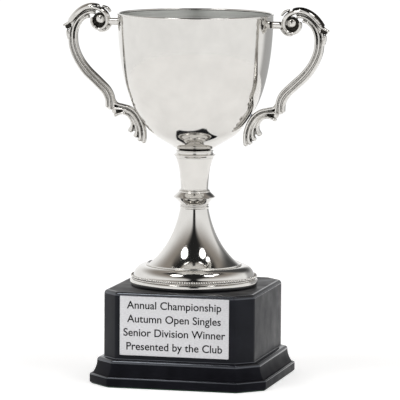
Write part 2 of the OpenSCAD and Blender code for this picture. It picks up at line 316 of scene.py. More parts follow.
# %% Brushed silver plate and its black lettering
def brushed_plate():
    material, tree, shader, place = new_material("brushed_aluminium_plate", Metallic=0.55, Roughness=0.5)
    stretch = add_node(tree, "ShaderNodeMapping", {"Vector": place})
    stretch.inputs["Scale"].default_value = (0.35, 1.0, 1.0)
    streaks = add_node(tree, "ShaderNodeTexNoise", {"Vector": stretch.outputs["Vector"]},
                       Scale=1 / (0.7 * MM), Detail=5.0)
    tint = ramp(tree, streaks.outputs["Fac"], [(0.25, srgb("#c9c9cc")), (0.75, srgb("#e4e4e6"))])
    tree.links.new(tint, shader.inputs["Base Color"])
    rough = add_node(tree, "ShaderNodeMapRange", {"Value": streaks.outputs["Fac"]}, To_Min=0.42, To_Max=0.6)
    tree.links.new(rough.outputs["Result"], shader.inputs["Roughness"])
    bump = add_node(tree, "ShaderNodeBump", {"Height": streaks.outputs["Fac"]}, Strength=0.15,
                    Distance=0.04 * MM)
    tree.links.new(bump.outputs["Normal"], shader.inputs["Normal"])
    return material


def black_filling():
    material, tree, shader, place = new_material("black_engraving_filler", Roughness=0.55)
    shader.inputs["Specular IOR Level"].default_value = 0.1
    speck = add_node(tree, "ShaderNodeTexNoise", {"Vector": place}, Scale=1 / (0.5 * MM), Detail=2.0)
    tint = ramp(tree, speck.outputs["Fac"], [(0.3, srgb("#0c0c0e")), (0.8, srgb("#1d1d20"))])
    tree.links.new(tint, shader.inputs["Base Color"])
    return material


PLATE = brushed_plate()
FILLING = black_filling()

# %% [markdown]
# ## The bowl
#
# The bowl is spun from one disc of brass over a former: a round bottom, a wall that is almost upright at
# the mouth, and an edge that is turned over into a small bead. One outline goes up the outside, over the
# bead and down the inside, and a full turn closes it. The inside is a second material on the same skin.

# %% Spin the bowl
MOUTH_R = RIM_R / MM
DEPTH = (RIM_Z - BOWL_Z) / MM
BOWL_LOW = [(14, 0.5), (36, 13.5), (35.5, 11.5), (48, 31.5)]
BOWL_HIGH = [(48, 31.5), (56, 44), (MOUTH_R, DEPTH - 39), (MOUTH_R, DEPTH)]


def offset(outline, distance):
    """The outline moved sideways, to its left as it is walked."""
    moved = []
    for i, (r, z) in enumerate(outline):
        before, after = outline[max(i - 1, 0)], outline[min(i + 1, len(outline) - 1)]
        along = Vector((after[0] - before[0], after[1] - before[1])).normalized()
        moved.append((r - along.y * distance, z + along.x * distance))
    return moved


# radius and height up the outside of the wall, in metres
WALL = [(r * MM, BOWL_Z + z * MM) for r, z in curve(*BOWL_LOW, 26) + curve(*BOWL_HIGH, 34)[1:]]


def bowl_outline():
    bead = 0.9 * MM
    inside = [p for p in offset(WALL, METAL) if p[1] < RIM_Z - 1.5 * bead]
    wall = [p for p in WALL if p[1] < RIM_Z - 1.5 * bead]
    middle = Vector((RIM_R - METAL / 2, RIM_Z - bead))
    turn = [(middle.x + bead * math.cos(math.radians(a)), middle.y + bead * math.sin(math.radians(a)))
            for a in range(-50, 231, 20)]
    floor_z = inside[0][1]
    return ([(0, BOWL_Z), (12 * MM, BOWL_Z)] + wall + turn + inside[::-1]
            + [(10 * MM, floor_z - 0.2 * MM), (0, floor_z - 0.2 * MM)])


def build_bowl():
    bm = spin_outline(bowl_outline(), 192)
    bm.normal_update()
    for face in bm.faces:
        centre = face.calc_center_median()
        inward = face.normal.x * centre.x + face.normal.y * centre.y < 0 or face.normal.z > 0.3
        face.material_index = 1 if inward and centre.z < RIM_Z - 1.3 * MM else 0
    return bm


bowl = finish_piece(build_bowl(), "bowl_skin", NICKEL, ["bowl"])
bowl.data.materials.append(SPUN)

# %% [markdown]
# ## The stem and foot
#
# Every section of the stem is turned or spun, so each is an outline and a full turn. Sharp changes of
# direction in an outline stay sharp, because the lathe tool cuts them crisply. They catch thin bright
# lines.

# %% Turn the sections of the stem
def section(name, outline, node, steps=128):
    """A turned section from an outline in millimetres, closed on the axis at both ends."""
    points = [(r * MM, z * MM) for r, z in outline]
    closed = [(0, points[0][1])] + points + [(0, points[-1][1])]
    return finish_piece(spin_outline(closed, steps), name, NICKEL, [node], sharp_angle=28)


collar_mm, tube_mm, knop_mm, bell_mm, foot_mm, bowl_mm = (
    v / MM for v in (COLLAR_Z, TUBE_Z, KNOP_Z, BELL_Z, FOOT_Z, BOWL_Z))

section("bowl_collar_skin",
        [(14.8, collar_mm)]
        + curve((15.3, collar_mm), (15.6, collar_mm + 1.2), (16.9, collar_mm + 1.8),
                (17.0, collar_mm + 2.4), 8)
        + curve((17.0, collar_mm + 2.6), (16.7, collar_mm + 2.9), (15.8, collar_mm + 2.9),
                (15.5, collar_mm + 3.2), 5)
        + curve((15.2, collar_mm + 3.5), (14.8, collar_mm + 4.0), (14.8, collar_mm + 4.8),
                (14.9, collar_mm + 5.3), 6)
        + curve((15.1, collar_mm + 5.4), (15.4, collar_mm + 5.6), (15.4, bowl_mm - 0.4),
                (15.0, bowl_mm - 0.05), 6),
        "bowl_collar")

section("stem_tube_skin",
        curve((11.2, tube_mm), (11.6, tube_mm + 12), (12.4, tube_mm + 18.5), (15.2, collar_mm - 0.1), 28),
        "stem_tube")

MID = knop_mm + 7.1
section("stem_knop_skin",
        [(11.1, knop_mm)]
        + curve((11.4, knop_mm + 0.1), (11.8, knop_mm + 0.3), (11.8, knop_mm + 0.9),
                (11.4, knop_mm + 1.2), 5)
        + curve((11.4, knop_mm + 1.3), (12.6, knop_mm + 3.6), (14.8, knop_mm + 5.4),
                (17.0, MID - 0.25), 12)
        + [(17.15, MID), (17.0, MID + 0.25)]
        + curve((16.6, MID + 0.4), (15.6, MID + 1.6), (14.2, MID + 2.8), (12.9, MID + 4.0), 10)
        + curve((12.8, MID + 4.2), (13.1, MID + 4.6), (12.9, MID + 5.1), (12.3, MID + 5.2), 5)
        + curve((12.0, MID + 5.3), (12.4, MID + 5.6), (12.4, tube_mm - 0.9), (12.0, tube_mm - 0.6), 5)
        + [(11.3, tube_mm - 0.5), (11.3, tube_mm - 0.05)],
        "stem_knop")

section("foot_bell_skin",
        curve((36.9, bell_mm), (26.5, bell_mm + 8.2), (15.8, bell_mm + 22.2), (11.5, knop_mm - 2.4), 44)
        + curve((11.6, knop_mm - 2.2), (12.1, knop_mm - 1.9), (12.1, knop_mm - 0.9),
                (11.6, knop_mm - 0.6), 6)
        + [(11.3, knop_mm - 0.5), (11.3, knop_mm - 0.05)],
        "foot_bell")

section("foot_rim_skin",
        curve((50.6, foot_mm), (52.2, foot_mm + 0.9), (52.6, foot_mm + 3.8), (51.4, foot_mm + 5.2), 12)
        + [(51.0, foot_mm + 5.4), (50.4, foot_mm + 5.6), (49.2, foot_mm + 8.7)]
        + curve((49.0, foot_mm + 9.0), (47.9, foot_mm + 14.1), (43.8, foot_mm + 16.9),
                (38.8, bell_mm - 0.5), 24)
        + curve((39.0, bell_mm - 0.2), (39.2, bell_mm + 1.0), (38.0, bell_mm + 1.2),
                (37.6, bell_mm + 0.2), 8)
        + [(37.1, bell_mm - 0.1)],
        "foot_rim")

# %% [markdown]
# **The rope of beads.** A stamped wire of small beads runs round the foot, where the domed part meets the
# rim. Each bead starts as a low sphere of eighty faces, is drawn out a little, and is turned to its place.

# %% Rope of beads round the foot
BEAD_R = 0.95 * MM
BEAD_SPACING = 2.05 * BEAD_R
BEAD_RING = Vector((50.4 * MM, 0, FOOT_Z + 7.3 * MM))
SLOPE_OF_FOOT = Matrix.Rotation(math.radians(22), 3, "Y")


def build_beads():
    bm = bmesh.new()
    count = int(2 * math.pi * BEAD_RING.x / BEAD_SPACING)
    for i in range(count):
        made = bmesh.ops.create_icosphere(bm, subdivisions=2, radius=BEAD_R)["verts"]
        bmesh.ops.scale(bm, vec=(1.0, 1.0, 1.35), verts=made)
        bmesh.ops.rotate(bm, verts=made, cent=(0, 0, 0), matrix=SLOPE_OF_FOOT)
        bmesh.ops.translate(bm, verts=made, vec=BEAD_RING)
        turn = Matrix.Rotation(2 * math.pi * i / count, 3, "Z")
        bmesh.ops.rotate(bm, verts=made, cent=(0, 0, 0), matrix=turn)
    print("beads:", count)
    return bm


finish_piece(build_beads(), "bead_border_rope", NICKEL, ["bead_border"],
             sharp_angle=180)

# %% [markdown]
# ## The base
#
# The block is a box with its four upright corners cut off. In a mould no edge is ever perfectly sharp, so
# a second and a third bevel round the edges of the cuts and the rim of the top. The rounded edges are what
# catches the light on a black base.

# %% Block
CORNER_CUT = 13.2 * MM
UPRIGHT_ROUND = 1.6 * MM
RIM_ROUND = 3.0 * MM


def edges_where(bm, test):
    """The edges that pass a test."""
    return [e for e in bm.edges if test(e)]


def upright(edge):
    along = edge.verts[1].co - edge.verts[0].co
    return abs(along.z) > 0.9 * along.length


def bevel(bm, edges, width, segments, material=-1):
    bmesh.ops.bevel(bm, geom=edges, offset=width, segments=segments, profile=0.5, affect="EDGES",
                    offset_type="OFFSET", clamp_overlap=True, material=material)


def build_block():
    lower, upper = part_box("base_block")
    bm = bmesh.new()
    bmesh.ops.create_cube(bm, size=1)
    bmesh.ops.scale(bm, vec=upper - lower, verts=bm.verts)
    bmesh.ops.translate(bm, vec=(upper + lower) / 2, verts=bm.verts)
    bevel(bm, edges_where(bm, upright), CORNER_CUT, 1)
    bevel(bm, edges_where(bm, upright), UPRIGHT_ROUND, 5)
    rim = edges_where(bm, lambda e: all(abs(v.co.z - upper.z) < 1e-6 for v in e.verts)
                      and any(abs(f.normal.z) < 0.5 for f in e.link_faces))
    # the rounded rim gets the second material, the lit copy that paints a highlight line
    bevel(bm, rim, RIM_ROUND, 6, material=1)
    bmesh.ops.recalc_face_normals(bm, faces=bm.faces)
    return bm


block = finish_piece(build_block(), "base_block_shell", BLACK, ["base_block"],
                     sharp_angle=50)
block.data.materials.append(LIT_EDGE_BLACK)

# %% [markdown]
# The plinth is one face of the same plan, carried upwards by insets. Each inset takes the edge in by a
# width and up by a height, so a list of these steps is the moulding's profile, and its corners mitre by
# themselves.

# %% Plinth
PLINTH_STEP = (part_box("base_plinth")[1].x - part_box("base_block")[1].x) / MM
PLINTH_TALL = (BLOCK_Z - PLINTH_Z) / MM
MITRE_ROUND = 0.8 * MM


def plinth_profile():
    """Points (distance out from the block, height), in millimetres, from the bottom up."""
    tall = PLINTH_TALL
    out = PLINTH_STEP
    return ([(out - 0.5, 0), (out - 0.1, 0.25), (out, 0.7), (out, 6.3)]
            + curve((out, 6.4), (out, 7.1), (out - 0.4, 7.5), (out - 1.1, 7.6), 5)
            + curve((out - 2.4, 7.8), (out - 4.0, 10.6), (5.5, 13.2), (5.1, tall - 4.6), 9)
            + curve((5.1, tall - 4.4), (5.3, tall - 2.2), (4.6, tall - 1.0), (2.6, tall - 0.7), 7)
            + [(0.5, tall - 0.6), (0.35, tall - 0.45), (0.3, tall)])


def build_plinth():
    steps = plinth_profile()
    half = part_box("base_block")[1].x
    bm = bmesh.new()
    bmesh.ops.create_grid(bm, x_segments=1, y_segments=1, size=half + steps[0][0] * MM)
    bmesh.ops.translate(bm, vec=(0, 0, PLINTH_Z), verts=bm.verts)
    # an even inset moves a corner cut by 2 - sqrt(2) times its width
    cut = CORNER_CUT + (2 - math.sqrt(2)) * steps[0][0] * MM
    bmesh.ops.bevel(bm, geom=bm.verts[:], offset=cut, segments=1, profile=0.5, affect="VERTICES",
                    material=-1)
    face = bm.faces[:][0]
    if face.normal.z < 0:
        face.normal_flip()
    for (out_a, z_a), (out_b, z_b) in zip(steps, steps[1:]):
        bmesh.ops.inset_region(bm, faces=[face], thickness=(out_a - out_b) * MM, depth=(z_b - z_a) * MM,
                               use_even_offset=True, use_boundary=True)
    bmesh.ops.holes_fill(bm, edges=[e for e in bm.edges if e.is_boundary], sides=0)
    bmesh.ops.remove_doubles(bm, verts=bm.verts, dist=1e-6)
    bmesh.ops.recalc_face_normals(bm, faces=bm.faces)
    # the mitres are the edges that climb from one ring to the next
    mitres = edges_where(bm, lambda e: abs(e.verts[0].co.z - e.verts[1].co.z) > 0.01 * MM)
    bevel(bm, mitres, MITRE_ROUND, 3)
    # the two rounded shoulders of the moulding get the lit copy too, for painted highlight lines
    for face in bm.faces:
        height = (face.calc_center_median().z - PLINTH_Z) / MM
        if 6.4 < height < 7.65 or height > PLINTH_TALL - 3.4:
            face.material_index = 1
    return bm


plinth = finish_piece(build_plinth(), "base_plinth_shell", SHADED_BLACK, ["base_plinth"],
                      sharp_angle=50)
plinth.data.materials.append(LIT_EDGE_BLACK)

# %% [markdown]
# ## The nameplate
#
# A guillotined rectangle of thin plate with rounded corners and its front edges just broken.

# %% Nameplate
PLATE_CORNER = 0.6 * MM
PLATE_EDGE = 0.18 * MM


def through_plate(edge):
    along = edge.verts[1].co - edge.verts[0].co
    return abs(along.y) > 0.5 * along.length


def build_plate():
    lower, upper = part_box("nameplate")
    bm = bmesh.new()
    bmesh.ops.create_cube(bm, size=1)
    bmesh.ops.scale(bm, vec=upper - lower, verts=bm.verts)
    bmesh.ops.translate(bm, vec=(upper + lower) / 2, verts=bm.verts)
    bevel(bm, edges_where(bm, through_plate), PLATE_CORNER, 3)
    front = edges_where(bm, lambda e: all(abs(v.co.y - lower.y) < 1e-6 for v in e.verts)
                        and any(abs(f.normal.y) < 0.5 for f in e.link_faces))
    bevel(bm, front, PLATE_EDGE, 2)
    return bm


finish_piece(build_plate(), "nameplate_front", PLATE, ["nameplate"], sharp_angle=50)

# %% [markdown]
# The four lines stand for an engraver's black-filled letters. They are ordinary words for any contest,
# drawn in a plain built-in typeface. A text curve is turned into a mesh first and only then put in its
# place, so that its object stays at the origin like every other.

# %% Lettering on the nameplate
LINES = ("Annual Championship", "Autumn Open Singles", "Senior Division Winner", "Presented by the Club")
LETTER_SIZE = 8.8 * MM
LINE_SPACING = 0.232


def build_lettering():
    lower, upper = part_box("nameplate")
    pitch = (upper.z - lower.z) * LINE_SPACING
    pieces = []
    for row, words in enumerate(LINES):
        text = bpy.data.curves.new("line", "FONT")
        text.body = words
        text.size = LETTER_SIZE
        text.align_x = "CENTER"
        text.align_y = "CENTER"
        text.extrude = 0.05 * MM
        text.offset = 0.09 * MM
        holder = bpy.data.objects.new("line", text)
        bpy.context.scene.collection.objects.link(holder)
        bpy.context.view_layer.update()
        mesh = bpy.data.meshes.new_from_object(holder)
        bpy.data.objects.remove(holder)
        place = Matrix.Translation(((lower.x + upper.x) / 2, lower.y - 0.03 * MM,
                                    (lower.z + upper.z) / 2 + (1.5 - row) * pitch))
        mesh.transform(place @ Matrix.Rotation(math.radians(90), 4, "X"))
        pieces.append(mesh)
    bm = bmesh.new()
    for mesh in pieces:
        bm.from_mesh(mesh)
    return bm


finish_piece(build_lettering(), "nameplate_lettering", FILLING, [], smooth=False)

# %% [markdown]
# ## The handles
#
# Each handle was modelled by hand, cast and plated, so it has no straight line in it. It is drawn here as
# rods of soft wax: every rod follows a smooth line through a few points, tapers to round ends, and lies
# beside the next with a groove between them. The rods are then fused into one skin, as in a casting.
#
# A rod starts as a sphere. Its rings, from pole to pole, are laid along the line one after another.

# %% Rods
PITCH = 0.5


def smooth_line(points):
    """A line through all the points, in steps of PITCH millimetres."""
    before = 2 * points[0] - points[1]
    after = 2 * points[-1] - points[-2]
    knots = [before] + points + [after]
    line = []
    for a, b, c, d in zip(knots, knots[1:], knots[2:], knots[3:]):
        count = max(1, round((c - b).length / PITCH))
        for i in range(count):
            t = i / count
            line.append(0.5 * (2 * b + (c - a) * t + (2 * a - 5 * b + 4 * c - d) * t * t
                               + (3 * b - a - 3 * c + d) * t ** 3))
    return line + [points[-1]]


def blend(values, u):
    """The value at fraction u of a list of evenly spaced values."""
    k = min(int(u * (len(values) - 1)), len(values) - 2)
    f = u * (len(values) - 1) - k
    return values[k] * (1 - f) + values[k + 1] * f


def rod(points, wide, deep, forward=(0, 0), lean=0):
    """A rod through (x, z) points; wide and deep are half sizes along it, forward is its place towards -Y.

    Lean, in degrees, turns its section about the line, so that its left side goes back.
    """
    lean = math.radians(lean)
    line = smooth_line([Vector(p) for p in points])
    last = len(line) - 1
    bm = bmesh.new()
    bmesh.ops.create_uvsphere(bm, u_segments=20, v_segments=last, radius=1)
    for vert in bm.verts:
        ring = round(math.acos(max(-1.0, min(1.0, vert.co.z))) / math.pi * last)
        turn = math.atan2(vert.co.y, vert.co.x)
        u = ring / last
        ahead = (line[min(ring + 1, last)] - line[max(ring - 1, 0)]).normalized()
        half = blend(wide, u)
        from_end = min(ring, last - ring) * PITCH / max(half, 0.2)
        round_off = math.sqrt(1 - (1 - min(from_end, 1)) ** 2)
        flat = half * round_off * math.cos(turn)
        thick = blend(deep, u) * round_off * math.sin(turn)
        across = flat * math.cos(lean) - thick * math.sin(lean)
        back = flat * math.sin(lean) + thick * math.cos(lean) - blend(forward, u)
        vert.co = (line[ring].x - across * ahead.y, back, line[ring].y + across * ahead.x)
    return bm

# %% [markdown]
# The arch carries a broad ribbon, which curls into the volute at one end and flicks out as a leaf at the
# other, and two narrow ribs that begin as beads and run on down the strap, where a third joins them. Two
# thin slats lean together like a roof along the arch's outer edge. At the foot four fronds spread like a
# fan under the bowl. The points are places on the right-hand handle, in millimetres.

# %% Lines of the right-hand handle
RIBBON = [(111.3, 285.4), (107.6, 287.2), (103.6, 290), (100.2, 293.6), (96.4, 297.2), (92, 300),
          (87, 301), (82, 300.4), (77.6, 298.4), (74.6, 295.2), (73.4, 291.2), (74.3, 287.2),
          (77.2, 284.4), (81, 283.5), (84.8, 285.4), (86.9, 289.2), (86.4, 293)]
EDGE_BAND = [(80.4, 302.6), (85, 303.5), (90, 303), (95, 301), (99.6, 297.8), (103.4, 293.8),
             (106.6, 289.6)]
OUTER_RIB = [(104.6, 285), (105.4, 281), (105.5, 277), (104.6, 268.4), (100.8, 258.6), (94, 248.4),
             (85, 239.8), (77.4, 232.4), (74.1, 226.4), (73.6, 219)]
MIDDLE_RIB = [(83.6, 296.9), (88.6, 296.8), (92.8, 295.4), (96.6, 292.6), (99.8, 288.6), (102, 283.6),
              (102.8, 277.4), (101.8, 268.6), (97.9, 259.4), (91, 250), (82.4, 241.4), (74.8, 234.2),
              (71.3, 227.6), (70.6, 217.4)]
INNER_RIB = [(88.4, 293.6), (92, 292.8), (95.4, 290.2), (98, 286.2), (99.6, 281.6), (100, 276.6),
             (99, 268.6), (95, 259.4), (88.4, 251), (80, 243.2), (72.2, 235.4), (68.8, 228.6),
             (67.6, 219.2)]
FRONDS = [
    [(68.6, 226.6), (66, 222.8), (60.4, 221.4), (54.6, 219.8), (49, 215.8), (44.9, 209.6), (42.4, 202.6),
     (42, 196), (43, 190.6)],
    [(68.4, 218.9), (63.4, 218.8), (57.8, 218), (52.2, 214.8), (48, 209.2), (45.7, 202.6), (45.3, 196),
     (47.2, 192.4)],
    [(61, 216.6), (56, 215), (51.5, 210.8), (49, 204.8), (48.6, 199.4), (50.4, 195.4)],
    [(68, 212.5), (64.4, 214.4), (59.8, 215.2), (55.6, 213.3), (52.7, 209.4), (52.4, 205),
     (54.8, 199.4)],
]
# half widths and half depths of the slats, and how far each one's middle stands from the handle's
SLAT_WIDE = [1.4, 2.1, 2.4, 2.4, 1.7]
SLAT_DEEP = [0.5, 0.6, 0.6, 0.6, 0.5]
SLAT_PLACE = [1.6, 1.8, 1.8, 1.8, 1.6]
SLAT_LEAN = 57
# for each frond, its half depth and the half width of its tip
FROND_DEEP = (3.2, 3.8, 3.3, 3.8)
FROND_TIP = (1.9, 2.0, 2.3, 2.5)

# %% [markdown]
# Half widths and half depths are given from one end of a rod to the other, so a rod can swell and taper.
# Short rods make the smaller things: the lobe under the leaf, the web behind it, the boss that joins the
# volute to the bowl and the volute's eye. Flatter rods fill the bundle from within, so that its grooves
# have a floor.

# %% Rods of the right-hand handle
def arch_rods():
    made = [
        rod(RIBBON, [0.9, 1.5, 1.6, 1.7, 2.0, 2.0, 1.8, 1.5, 1.4],
            [1.6, 3.0, 3.8, 4.0, 4.0, 3.8, 3.6, 3.4, 3.2], [1.4, 0.8, 0.2, 0, 0, 0, 0, 0, 0]),
        rod(EDGE_BAND, [1.0, 1.2, 1.3, 1.3, 1.1], [1.6, 1.8, 1.8, 1.8, 1.8]),
    ]
    for face in (1, -1):
        made.append(rod(EDGE_BAND, SLAT_WIDE, SLAT_DEEP, [face * p for p in SLAT_PLACE], face * SLAT_LEAN))
    return made


def strap_rods():
    return [
        rod(OUTER_RIB, [1.0, 1.4, 1.4, 1.4, 1.4, 1.5], [1.6, 3.4, 3.7, 3.7, 3.6, 3.4]),
        rod(MIDDLE_RIB, [1.4, 1.2, 1.25, 1.25, 1.25, 1.25, 1.3], [2.6, 3.4, 3.7, 3.8, 3.8, 3.8, 3.6]),
        rod(INNER_RIB, [1.5, 1.2, 1.25, 1.25, 1.25, 1.25, 1.3], [2.8, 3.1, 3.4, 3.5, 3.5, 3.5, 3.4]),
    ]


def small_rods():
    lobe_under_leaf = rod([(106.2, 274), (106.9, 278.6), (107.6, 282.6)], [1.0, 1.7, 1.3], [3.2, 3.0, 2.0])
    web_under_leaf = rod([(103.2, 288.6), (106.8, 285), (109.8, 284)], [1.6, 2.2, 0.8], [1.0, 1.0, 0.8])
    lip_of_volute = rod([(70.9, 287.2), (74, 283.2), (77.4, 281.7), (81, 281.8)], [1.0, 0.9, 0.7],
                        [2.6, 2.6, 2.2])
    leaf_on_volute = rod([(71, 297.2), (73.8, 300.6), (78.4, 302.6)], [1.0, 1.2, 0.8], [2.2, 2.4, 2.2])
    boss_to_bowl = rod([(62, 289.7), (67.4, 289.7), (73.4, 289.7)], [3.0, 3.0, 3.0], [3.1, 3.1, 3.1])
    eye_of_volute = rod([(75.2, 291), (79.6, 291.5), (84, 292.4)], [3.6, 3.8, 3.6], [2.2, 3.2, 2.2])
    floor_of_volute = rod([(72.6, 290.4), (86.6, 290.4)], [7, 7], [0.6, 0.6])
    web_at_foot = rod([(60, 217), (70, 216.6)], [1.4, 2.2], [1.2, 1.2])
    return [lobe_under_leaf, web_under_leaf, lip_of_volute, leaf_on_volute, boss_to_bowl, eye_of_volute,
            floor_of_volute, web_at_foot]


def filling_rods():
    return [
        rod([(83, 300), (90, 299), (97, 295), (101.6, 289), (103.4, 283)], [3.0, 4.0, 4.0, 3.6, 3.0],
            [1.2, 1.3, 1.3, 1.4, 1.5]),
        rod(MIDDLE_RIB[6:], [3.4, 3.6, 3.6, 3.6, 3.4], [2.2, 2.55, 2.55, 2.55, 2.2]),
        rod([(66, 220), (58, 219), (52, 215), (48, 209), (46, 203), (46, 196)], [2.4, 3, 4, 4.4, 4, 3],
            [1.4, 1.5, 1.5, 1.5, 1.4, 1.2]),
        rod([(52.4, 212), (51.2, 206), (52, 200.6)], [2, 2.8, 2.4], [1.4, 1.2, 1.0]),
    ]


def frond_rods():
    made = []
    for frond, deep, tip in zip(FRONDS, FROND_DEEP, FROND_TIP):
        made.append(rod(frond, [1.5, 1.4, 1.45, 1.5, 1.6, tip], [deep * 0.85, deep, deep, deep * 0.9]))
    return made

# %% [markdown]
# The rods are copied into one bundle, and a voxel remesh turns that into a single skin, whose grooves are
# filleted as by plating. A few rounds of smoothing polish it.

# %% Fuse the rods into one skin
VOXEL = 0.34 * MM
POLISHING_ROUNDS = 3


def bundle_of(rods):
    """One mesh in metres from rods in millimetres, which are freed."""
    bundle = bmesh.new()
    for piece in rods:
        mesh = bpy.data.meshes.new("rod")
        piece.to_mesh(mesh)
        piece.free()
        bundle.from_mesh(mesh)
        bpy.data.meshes.remove(mesh)
    bmesh.ops.scale(bundle, vec=(MM, MM, MM), verts=bundle.verts)
    bmesh.ops.recalc_face_normals(bundle, faces=bundle.faces)
    mesh = bpy.data.meshes.new("bundle")
    bundle.to_mesh(mesh)
    bundle.free()
    return mesh


def fused(mesh):
    """A bmesh of the single skin round a bundle."""
    holder = bpy.data.objects.new("bundle", mesh)
    bpy.context.scene.collection.objects.link(holder)
    fuse = holder.modifiers.new("fuse", "REMESH")
    fuse.mode = "VOXEL"
    fuse.voxel_size = VOXEL
    graph = bpy.context.evaluated_depsgraph_get()
    skin = bpy.data.meshes.new_from_object(holder.evaluated_get(graph))
    bpy.data.objects.remove(holder)
    bm = bmesh.new()
    bm.from_mesh(skin)
    bpy.data.meshes.remove(skin)
    for _ in range(POLISHING_ROUNDS):
        bmesh.ops.smooth_vert(bm, verts=bm.verts, factor=0.5, use_axis_x=True, use_axis_y=True,
                              use_axis_z=True)
    return bm


right = fused(bundle_of(arch_rods() + strap_rods() + small_rods() + filling_rods() + frond_rods()))
print("fused handle:", len(right.verts), "points")

# %% [markdown]
# The ends of the fronds lie against the bowl. Where the fused skin would enter the wall, it is pressed
# back until it lies just outside it, as the real casting is filed to fit.

# %% Fit the skin to the bowl
FITTING_GAP = 0.1 * MM


def bowl_radius_at(z):
    """Outer radius of the bowl's wall at a height."""
    for (r_a, z_a), (r_b, z_b) in zip(WALL, WALL[1:]):
        if z_a <= z < z_b:
            return r_a + (r_b - r_a) * (z - z_a) / (z_b - z_a)
    return WALL[-1][0] if z >= RIM_Z else 0.0


def press_onto_bowl(bm):
    """Moves the points inside the wall out to it, and counts them."""
    moved = 0
    for vert in bm.verts:
        across = math.hypot(vert.co.x, vert.co.y)
        wall = bowl_radius_at(vert.co.z) + FITTING_GAP
        if across < wall:
            vert.co.x *= wall / across
            vert.co.y *= wall / across
            moved += 1
    return moved


print("points pressed out of the bowl:", press_onto_bowl(right))

# %% [markdown]
# The second material, a painted shade, goes on the faces that lie deep in the volute, under the leaf and
# behind the fronds. The left-hand handle is a mirrored copy. The outer edge of the right-hand arch alone
# gets the same painted shade, a painted shadow that draws a dark line round it. Finally each skin becomes a
# piece.

# %% Painted shade in the hollows, mirrored copy and the two pieces
# (x, z, radius, depth) of each hollow
HOLLOWS = [(80.2, 290.6, 6.2, 1.2), (106.3, 285.2, 2.9, 1.3), (63.8, 216.9, 2.4, 2.2)]
SHADOW_EDGE_REACH = 1.3
SHADOW_EDGE_DEPTH = 3.2


def paint_shade_in_hollows(bm):
    for face in bm.faces:
        centre = face.calc_center_median() / MM
        for x, z, reach, depth in HOLLOWS:
            if math.hypot(centre.x - x, centre.z - z) < reach and abs(centre.y) < depth:
                face.material_index = 1


def paint_shadow_along_edge(bm, line):
    """Gives the faces near a line, as seen from the front, the second material, a painted shadow."""
    near = smooth_line([Vector(p) for p in line])
    low_x = min(p.x for p in near) - SHADOW_EDGE_REACH
    low_z = min(p.y for p in near) - SHADOW_EDGE_REACH
    for face in bm.faces:
        centre = face.calc_center_median() / MM
        if centre.x < low_x or centre.z < low_z or abs(centre.y) > SHADOW_EDGE_DEPTH:
            continue
        if min(math.hypot(centre.x - p.x, centre.z - p.y) for p in near) < SHADOW_EDGE_REACH:
            face.material_index = 1


def mirrored(bm):
    copy = bm.copy()
    bmesh.ops.scale(copy, vec=(-1, 1, 1), verts=copy.verts)
    bmesh.ops.reverse_faces(copy, faces=copy.faces)
    return copy


paint_shade_in_hollows(right)
left = mirrored(right)
# painted shadow along the outer edge of the right-hand arch only
paint_shadow_along_edge(right, EDGE_BAND)
for side, skin in (("right", right), ("left", left)):
    handle = finish_piece(skin, f"handle_{side}_casting", CAST, [f"handle_{side}"],
                          sharp_angle=180)
    handle.data.materials.append(PAINTED_SHADE)

# %% [markdown]
# ## Hidden fittings
#
# Inside the base a cast weight, a threaded rod, nuts, washers and screws hold the trophy together, and a
# board with a felt pad closes it below. Their shapes come straight from the design; they only need surfaces.

# %% Materials of the fittings
def metal(name, light, dark, rough, grain_mm, depth_mm, metallic=1.0):
    """A metal whose colour, roughness and surface vary with one noise."""
    material, tree, shader, place = new_material(name, Metallic=metallic, Roughness=rough)
    grain = add_node(tree, "ShaderNodeTexNoise", {"Vector": place}, Scale=1 / (grain_mm * MM), Detail=4.0)
    tint = ramp(tree, grain.outputs["Fac"], [(0.3, srgb(dark)), (0.7, srgb(light))])
    tree.links.new(tint, shader.inputs["Base Color"])
    spread = add_node(tree, "ShaderNodeMapRange", {"Value": grain.outputs["Fac"]}, To_Min=rough - 0.08,
                      To_Max=rough + 0.1)
    tree.links.new(spread.outputs["Result"], shader.inputs["Roughness"])
    bump = add_node(tree, "ShaderNodeBump", {"Height": grain.outputs["Fac"]}, Strength=0.4,
                    Distance=depth_mm * MM)
    tree.links.new(bump.outputs["Normal"], shader.inputs["Normal"])
    return material


def fibres(name, light, dark, grain_mm, depth_mm, sheen=0.0):
    """A dull fibrous board or cloth, with long soft specks that lie every way."""
    material, tree, shader, place = new_material(name, Roughness=0.9, Sheen_Weight=sheen)
    bent = add_node(tree, "ShaderNodeTexNoise", {"Vector": place}, Scale=1 / (4 * grain_mm * MM),
                    Detail=1.0)
    shifted = add_node(tree, "ShaderNodeMix", {"A": place, "B": bent.outputs["Color"]},
                       {"data_type": "VECTOR"}, Factor=0.02)
    hair = add_node(tree, "ShaderNodeTexNoise", {"Vector": shifted.outputs[1]}, Scale=1 / (grain_mm * MM),
                    Detail=8.0, Roughness=0.75)
    tint = ramp(tree, hair.outputs["Fac"], [(0.35, srgb(dark)), (0.65, srgb(light))])
    tree.links.new(tint, shader.inputs["Base Color"])
    bump = add_node(tree, "ShaderNodeBump", {"Height": hair.outputs["Fac"]}, Strength=0.7,
                    Distance=depth_mm * MM)
    tree.links.new(bump.outputs["Normal"], shader.inputs["Normal"])
    return material


ZINC = metal("zinc_plated_steel", "#c9ccd2", "#a7abb4", 0.3, 1.5, 0.03)
BRASS = metal("turned_brass", "#d9b776", "#c09a55", 0.28, 0.8, 0.02)
IRON = metal("cast_iron_raw", "#3b3a3a", "#232223", 0.66, 1.2, 0.25, metallic=0.7)
BOARD = fibres("pressed_hardboard", "#6d4a2e", "#4b301c", 1.1, 0.08)
FELT = fibres("green_baize", "#1e4a33", "#123021", 0.8, 0.3, sheen=0.5)
TAPE = fibres("foam_tape_white", "#e9e8e3", "#d8d7d1", 0.5, 0.05)

# %% [markdown]
# Every part of the design that has no finer piece above keeps its own mesh, and gets one of these
# materials in place of the plain one.

